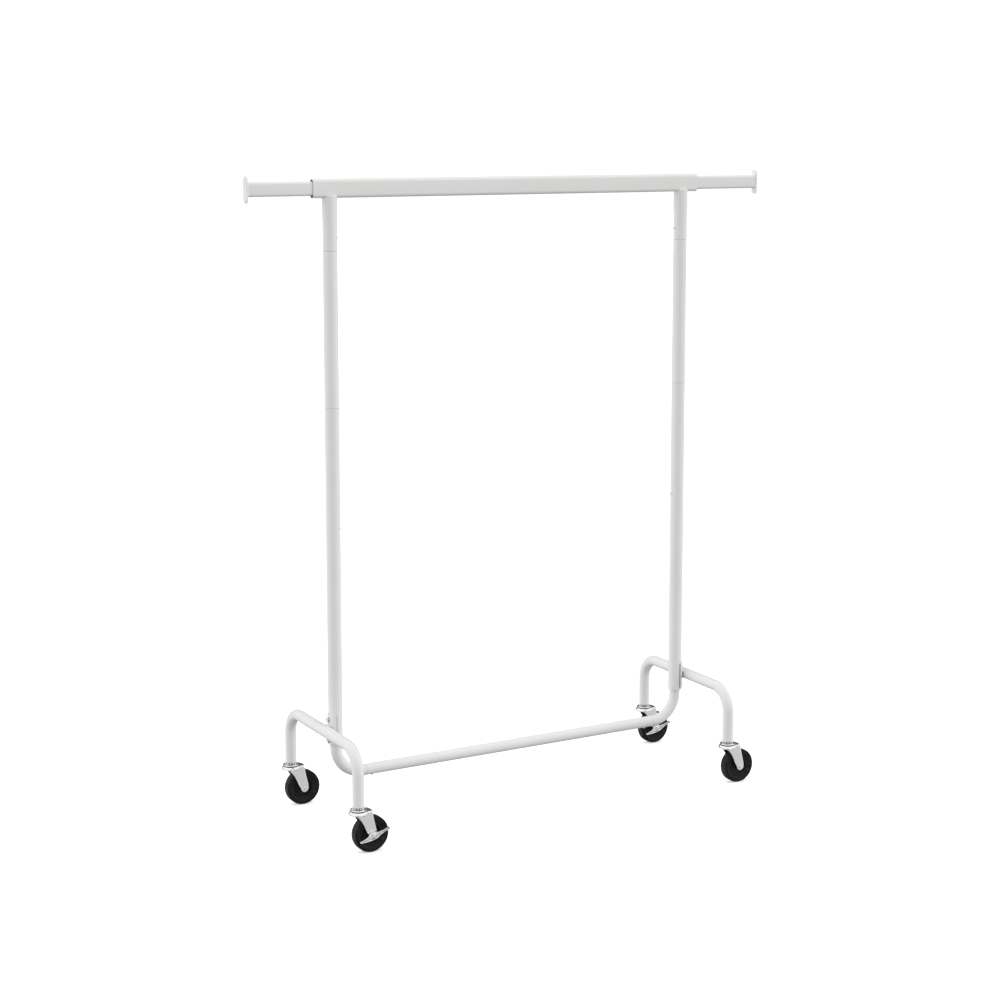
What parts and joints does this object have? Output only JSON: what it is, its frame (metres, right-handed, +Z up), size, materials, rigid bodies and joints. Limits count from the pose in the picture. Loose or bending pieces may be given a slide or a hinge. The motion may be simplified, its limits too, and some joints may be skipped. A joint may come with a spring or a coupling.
{
  "type": "rolling clothes rack",
  "caption": "Wheeled garment rack: flat-sided hanging rail with pull-out end rods on two round posts, arched base tubes and swivel casters with side brakes.",
  "frame": {"origin": "centre of the bounding box at floor level, the rods standing as pulled out in the reference pose", "axes": "+X along the hanging rail towards the longer pulled-out rod, +Y from front to back, +Z up; the braked lever sides face -Y"},
  "size_m": [1.458, 0.453, 1.6],
  "materials": {
    "white_paint": "satin white powder coat",
    "white_plastic": "smooth moulded plastic",
    "black_plastic": "moulded plastic",
    "bright_zinc": "bright zinc plated steel",
    "plain_steel": "plain steel",
    "wheel_rubber": "hard black rubber"
  },
  "bodies": {
    "rack_frame": {"rail_outer_tube": "white_paint", "rail_bushing_left": "black_plastic", "rail_bushing_right": "black_plastic", "bottom_bar": "white_paint", "post_stub_left": "white_paint", "upper_post_left": "white_paint", "lower_post_left": "white_paint", "post_joint_sleeve_left": "plain_steel", "bend_reducer_left": "plain_steel", "corner_bend_left": "white_paint", "bar_screw_left": "bright_zinc", "post_screw_upper_left": "bright_zinc", "post_screw_middle_left": "bright_zinc", "base_tube_left": "white_paint", "bracket_left": "white_paint", "bracket_bolt_upper_left": "bright_zinc", "bracket_bolt_lower_left": "bright_zinc", "post_stub_right": "white_paint", "upper_post_right": "white_paint", "lower_post_right": "white_paint", "post_joint_sleeve_right": "plain_steel", "bend_reducer_right": "plain_steel", "corner_bend_right": "white_paint", "bar_screw_right": "bright_zinc", "post_screw_upper_right": "bright_zinc", "post_screw_middle_right": "bright_zinc", "base_tube_right": "white_paint", "bracket_right": "white_paint", "bracket_bolt_upper_right": "bright_zinc", "bracket_bolt_lower_right": "bright_zinc", "caster_socket_front_left": "bright_zinc", "caster_stem_front_left": "bright_zinc", "caster_socket_rear_left": "bright_zinc", "caster_stem_rear_left": "bright_zinc", "caster_socket_front_right": "bright_zinc", "caster_stem_front_right": "bright_zinc", "caster_socket_rear_right": "bright_zinc", "caster_stem_rear_right": "bright_zinc"},
    "rod_left": {"extension_rod_left": "white_paint", "end_cap_left": "white_plastic", "rod_glider_left": "black_plastic"},
    "rod_right": {"extension_rod_right": "white_paint", "end_cap_right": "white_plastic", "rod_glider_right": "black_plastic"},
    "swivel_front_left": {"caster_fork_front_left": "bright_zinc", "caster_axle_front_left": "bright_zinc", "brake_cam_front_left": "plain_steel"},
    "wheel_front_left": {"caster_wheel_front_left": "wheel_rubber"},
    "lever_front_left": {"brake_lever_front_left": "bright_zinc"},
    "swivel_rear_left": {"caster_fork_rear_left": "bright_zinc", "caster_axle_rear_left": "bright_zinc"},
    "wheel_rear_left": {"caster_wheel_rear_left": "wheel_rubber"},
    "swivel_front_right": {"caster_fork_front_right": "bright_zinc", "caster_axle_front_right": "bright_zinc"},
    "wheel_front_right": {"caster_wheel_front_right": "wheel_rubber"},
    "swivel_rear_right": {"caster_fork_rear_right": "bright_zinc", "caster_axle_rear_right": "bright_zinc", "brake_cam_rear_right": "plain_steel"},
    "wheel_rear_right": {"caster_wheel_rear_right": "wheel_rubber"},
    "lever_rear_right": {"brake_lever_rear_right": "bright_zinc"}
  },
  "joints": [
    {"name": "rod_slide_left", "type": "slide", "parent": "rack_frame", "child": "rod_left", "axis": [1, 0, 0], "range_m": [-0.037, 0.162]},
    {"name": "rod_slide_right", "type": "slide", "parent": "rack_frame", "child": "rod_right", "axis": [1, 0, 0], "range_m": [-0.186, 0.013]},
    {"name": "caster_swivel_front_left", "type": "hinge", "parent": "rack_frame", "child": "swivel_front_left", "pos_m": [-0.5481, -0.1956, 0.1045], "axis": [0, 0, 1], "continuous": true},
    {"name": "wheel_spin_front_left", "type": "hinge", "parent": "swivel_front_left", "child": "wheel_front_left", "pos_m": [-0.5181, -0.1956, 0.04462], "axis": [0, 1, 0], "continuous": true},
    {"name": "brake_lever_hinge_front_left", "type": "hinge", "parent": "swivel_front_left", "child": "lever_front_left", "pos_m": [-0.5181, -0.2166, 0.04462], "axis": [0, 1, 0], "range_deg": [0, 38]},
    {"name": "caster_swivel_rear_left", "type": "hinge", "parent": "rack_frame", "child": "swivel_rear_left", "pos_m": [-0.5481, 0.2024, 0.1045], "axis": [0, 0, 1], "continuous": true},
    {"name": "wheel_spin_rear_left", "type": "hinge", "parent": "swivel_rear_left", "child": "wheel_rear_left", "pos_m": [-0.5181, 0.2024, 0.04462], "axis": [0, 1, 0], "continuous": true},
    {"name": "caster_swivel_front_right", "type": "hinge", "parent": "rack_frame", "child": "swivel_front_right", "pos_m": [0.5241, -0.1956, 0.1045], "axis": [0, 0, 1], "continuous": true},
    {"name": "wheel_spin_front_right", "type": "hinge", "parent": "swivel_front_right", "child": "wheel_front_right", "pos_m": [0.5541, -0.1956, 0.04462], "axis": [0, 1, 0], "continuous": true},
    {"name": "caster_swivel_rear_right", "type": "hinge", "parent": "rack_frame", "child": "swivel_rear_right", "pos_m": [0.5241, 0.2024, 0.1045], "axis": [0, 0, 1], "continuous": true},
    {"name": "wheel_spin_rear_right", "type": "hinge", "parent": "swivel_rear_right", "child": "wheel_rear_right", "pos_m": [0.5541, 0.2024, 0.04462], "axis": [0, 1, 0], "continuous": true},
    {"name": "brake_lever_hinge_rear_right", "type": "hinge", "parent": "swivel_rear_right", "child": "lever_rear_right", "pos_m": [0.5541, 0.1814, 0.04462], "axis": [0, 1, 0], "range_deg": [0, 38]}
  ]
}
